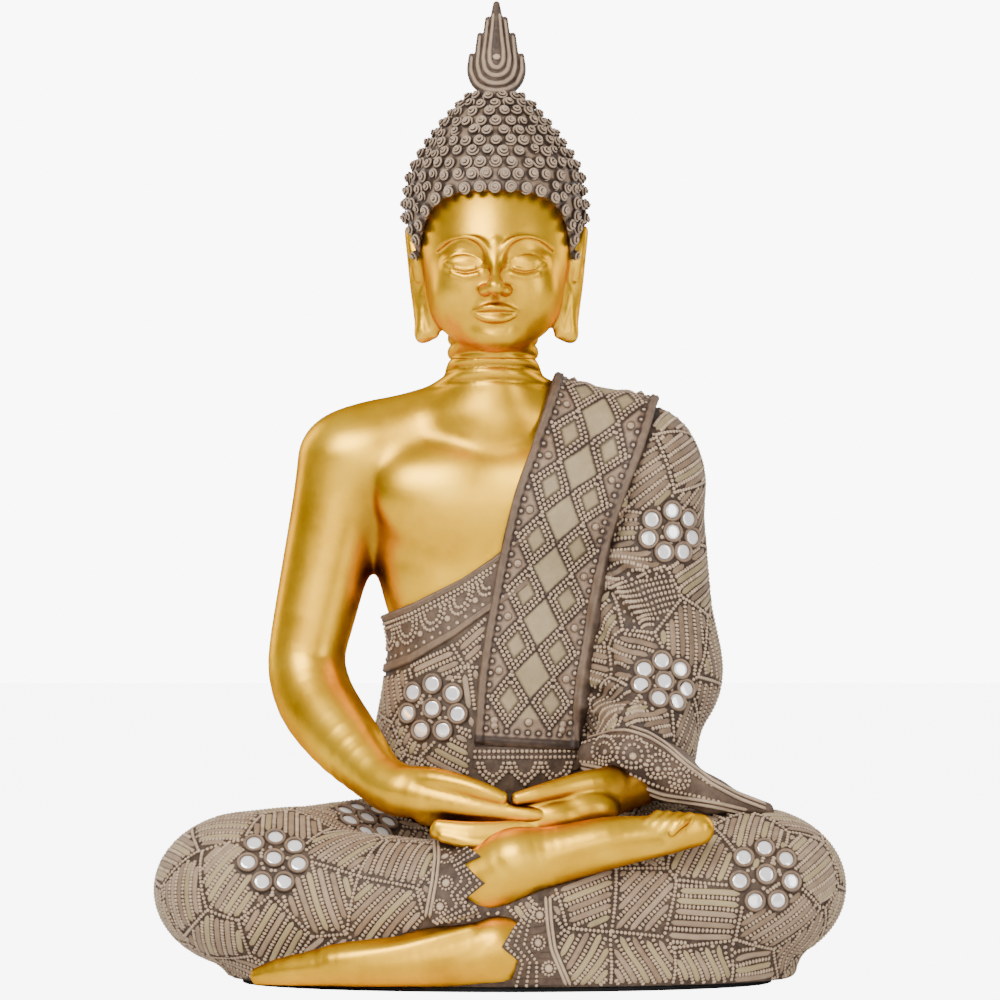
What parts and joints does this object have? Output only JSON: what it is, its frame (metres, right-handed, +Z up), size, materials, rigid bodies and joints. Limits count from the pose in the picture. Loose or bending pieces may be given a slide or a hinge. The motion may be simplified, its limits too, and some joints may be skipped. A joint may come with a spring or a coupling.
{
  "type": "seated buddha statue",
  "caption": "Seated meditating figure with gold-painted skin, tight curled hair, a flame finial and a beaded robe set with round mirrors.",
  "frame": {"origin": "middle of the underside of the base pad, below the neck", "axes": "+Z up, the figure faces -Y, its left hand side is +X"},
  "size_m": [0.2925, 0.1548, 0.4163],
  "materials": {
    "gold": "metallic gold paint on cast resin",
    "robe": "antiqued taupe paint on cast resin",
    "trim": "antiqued taupe paint on raised trim",
    "hair": "antiqued grey-brown paint on cast resin",
    "mirror": "silvered glass",
    "felt": "black felt",
    "steel": "plain steel"
  },
  "bodies": {
    "root": {"base_pad": "felt", "chest_band": "trim", "finial_flame": "hair", "hair_casting": "hair", "head_casting": "gold", "lap_casting": "robe", "left_ankle_hem": "trim", "left_foot_casting": "gold", "left_hand_casting": "gold", "mirror_left_knee_0": "mirror", "mirror_left_knee_1": "mirror", "mirror_left_knee_2": "mirror", "mirror_left_knee_3": "mirror", "mirror_left_knee_4": "mirror", "mirror_left_knee_5": "mirror", "mirror_left_knee_6": "mirror", "mirror_left_knee_7": "mirror", "mirror_lower_arm_0": "mirror", "mirror_lower_arm_1": "mirror", "mirror_lower_arm_2": "mirror", "mirror_lower_arm_3": "mirror", "mirror_lower_arm_4": "mirror", "mirror_lower_arm_5": "mirror", "mirror_lower_arm_6": "mirror", "mirror_lower_arm_7": "mirror", "mirror_right_knee_0": "mirror", "mirror_right_knee_1": "mirror", "mirror_right_knee_2": "mirror", "mirror_right_knee_3": "mirror", "mirror_right_knee_4": "mirror", "mirror_right_knee_5": "mirror", "mirror_right_knee_6": "mirror", "mirror_right_knee_7": "mirror", "mirror_upper_arm_0": "mirror", "mirror_upper_arm_1": "mirror", "mirror_upper_arm_2": "mirror", "mirror_upper_arm_3": "mirror", "mirror_upper_arm_4": "mirror", "mirror_upper_arm_5": "mirror", "mirror_upper_arm_6": "mirror", "mirror_upper_arm_7": "mirror", "mirror_waist_0": "mirror", "mirror_waist_1": "mirror", "mirror_waist_2": "mirror", "mirror_waist_3": "mirror", "mirror_waist_4": "mirror", "mirror_waist_5": "mirror", "mirror_waist_6": "mirror", "mirror_waist_7": "mirror", "neck_dowel": "steel", "right_ankle_hem": "trim", "right_arm_casting": "gold", "right_foot_casting": "gold", "robe_wrap": "robe", "sash_fringe": "trim", "sash_panel": "trim", "sleeve_casting": "robe", "sleeve_cuff": "trim", "torso_casting": "gold"}
  },
  "joints": []
}
